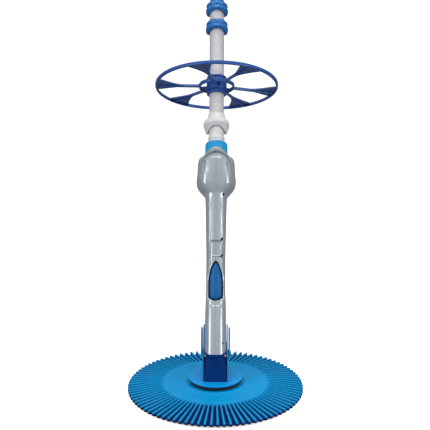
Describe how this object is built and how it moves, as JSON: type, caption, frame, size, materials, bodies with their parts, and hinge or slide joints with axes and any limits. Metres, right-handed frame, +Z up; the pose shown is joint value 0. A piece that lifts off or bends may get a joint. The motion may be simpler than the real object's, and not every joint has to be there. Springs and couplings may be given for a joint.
{
  "type": "suction pool cleaner",
  "caption": "Suction pool cleaner: a pleated disc on an upright foot, a leaning hollow body with a rocking flapper, and a swivelling hose with a spoked deflector wheel.",
  "frame": {"origin": "middle of the suction mouth, on the floor that the cleaner stands on", "axes": "+Z up, -Y to the front, where the slot in the body faces; the body leans towards +Y"},
  "size_m": [0.41, 0.6747, 0.8827],
  "materials": {
    "sole_rubber": "matt moulded rubber",
    "light_blue": "satin moulded plastic",
    "dark_blue": "satin moulded plastic",
    "disc_blue": "soft satin moulded polyurethane",
    "shell_grey": "metallic silver-grey moulded plastic",
    "nut_blue": "satin moulded plastic",
    "royal_blue": "satin moulded plastic",
    "cuff_blue": "satin moulded plastic",
    "white_plastic": "satin white moulded plastic",
    "hose_white": "ribbed flexible plastic",
    "inner_black": "matt moulded plastic",
    "flapper_rubber": "matt rubber",
    "float_foam": "closed-cell foam",
    "ballast_iron": "coated cast weight",
    "steel_screw": "stainless steel",
    "brass_screw": "plain brass"
  },
  "bodies": {
    "cleaner_body": {"foot_sole": "sole_rubber", "foot_frame": "light_blue", "foot_column": "dark_blue", "left_cheek": "light_blue", "right_cheek": "light_blue", "foot_screws": "brass_screw", "ballast_weight": "ballast_iron", "left_body_shell": "shell_grey", "right_body_shell": "shell_grey", "body_screws": "steel_screw", "slot_insert": "dark_blue", "left_float": "float_foam", "right_float": "float_foam", "flapper_chamber": "inner_black", "flapper_pin": "steel_screw", "front_seat": "flapper_rubber", "rear_seat": "flapper_rubber", "front_flow_tube": "inner_black", "rear_flow_tube": "inner_black", "manifold": "inner_black", "swivel_socket": "inner_black"},
    "disc": {"finned_disc": "disc_blue"},
    "rocking_flapper": {"flapper": "flapper_rubber"},
    "hose_line": {"outer_pipe": "white_plastic", "swivel_seal": "flapper_rubber", "hose_end_cuff": "white_plastic", "leader_hose": "hose_white", "left_hub_half": "royal_blue", "right_hub_half": "royal_blue", "lower_blue_cuff": "cuff_blue", "link_hose": "hose_white", "upper_blue_cuff": "cuff_blue"},
    "nut": {"hand_nut": "nut_blue"},
    "wheel": {"deflector_wheel": "royal_blue"}
  },
  "joints": [
    {"name": "disc_spin", "type": "hinge", "parent": "cleaner_body", "child": "disc", "pos_m": [0, 0, 0], "axis": [0, 0, 1], "continuous": true},
    {"name": "flapper_rock", "type": "hinge", "parent": "cleaner_body", "child": "rocking_flapper", "pos_m": [0, 0.019, 0.11891], "axis": [1, 0, 0], "range_deg": [0, 30]},
    {"name": "pipe_swivel", "type": "hinge", "parent": "cleaner_body", "child": "hose_line", "pos_m": [0, 0, 0.086], "axis": [0, 0.5, 0.866], "continuous": true},
    {"name": "nut_turn", "type": "hinge", "parent": "cleaner_body", "child": "nut", "pos_m": [0, 0, 0.086], "axis": [0, 0.5, 0.866], "range_deg": [0, 90]},
    {"name": "wheel_spin", "type": "hinge", "parent": "hose_line", "child": "wheel", "pos_m": [0, 0, 0.086], "axis": [0, 0.5, 0.866], "continuous": true}
  ]
}
